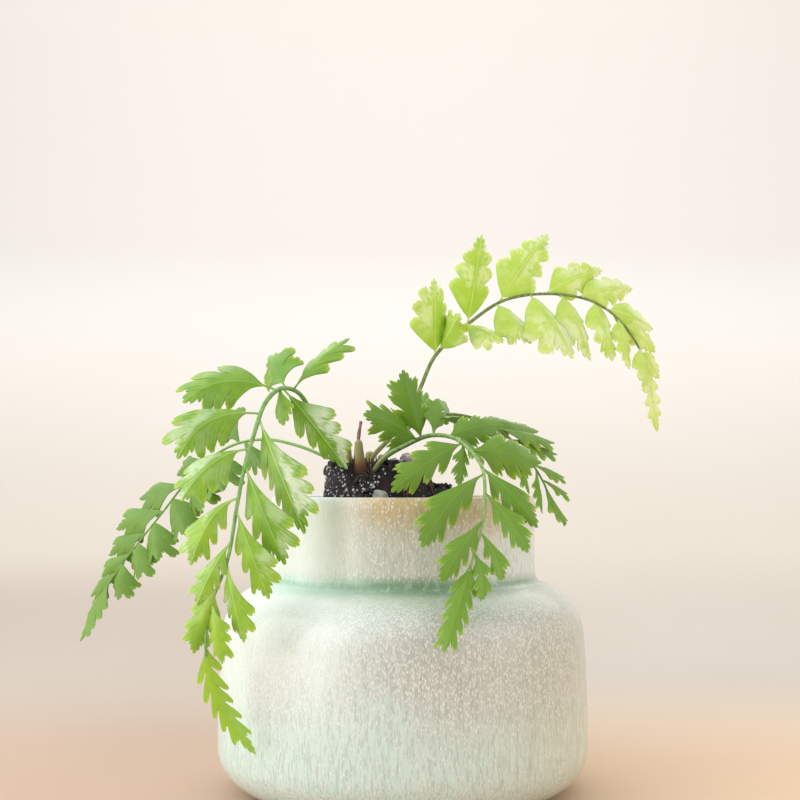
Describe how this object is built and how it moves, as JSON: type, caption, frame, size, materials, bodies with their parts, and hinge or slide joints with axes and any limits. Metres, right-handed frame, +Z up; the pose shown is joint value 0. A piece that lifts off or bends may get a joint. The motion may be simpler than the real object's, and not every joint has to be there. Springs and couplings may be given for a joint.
{
  "type": "potted fern",
  "caption": "Arching fern fronds with lobed, toothed leaflets, rooted in a mound of bark mix in a round-shouldered glazed jar pot.",
  "frame": {"origin": "centre of the pot's flat foot", "axes": "+Z up; -Y towards the viewer, the side that the front frond hangs over; +X to the viewer's right"},
  "size_m": [0.2388, 0.1524, 0.2148],
  "materials": {
    "glaze": "glossy pale celadon glaze with cream flecks, greener in the groove and tan at the rim",
    "potting_mix": "rough dark bark mix with white perlite",
    "crown": "fibrous, green-brown",
    "bark": "rough red-brown bark",
    "pumice": "rough grey-white",
    "leaf": "satin mid-green with paler veins and yellow-green teeth",
    "young_leaf": "satin pale yellow-green"
  },
  "bodies": {
    "root": {"pot": "glaze", "crown": "crown", "soil": "potting_mix", "bark_chip_front": "bark", "bark_chip_centre": "bark", "bark_chip_rear": "bark", "bark_chip_left": "bark", "bark_chip_right": "bark", "pumice_front": "pumice", "frond_left_front": "leaf", "frond_left_rear": "leaf", "frond_front": "leaf", "frond_upper": "young_leaf", "frond_right_rear": "leaf"}
  },
  "joints": []
}
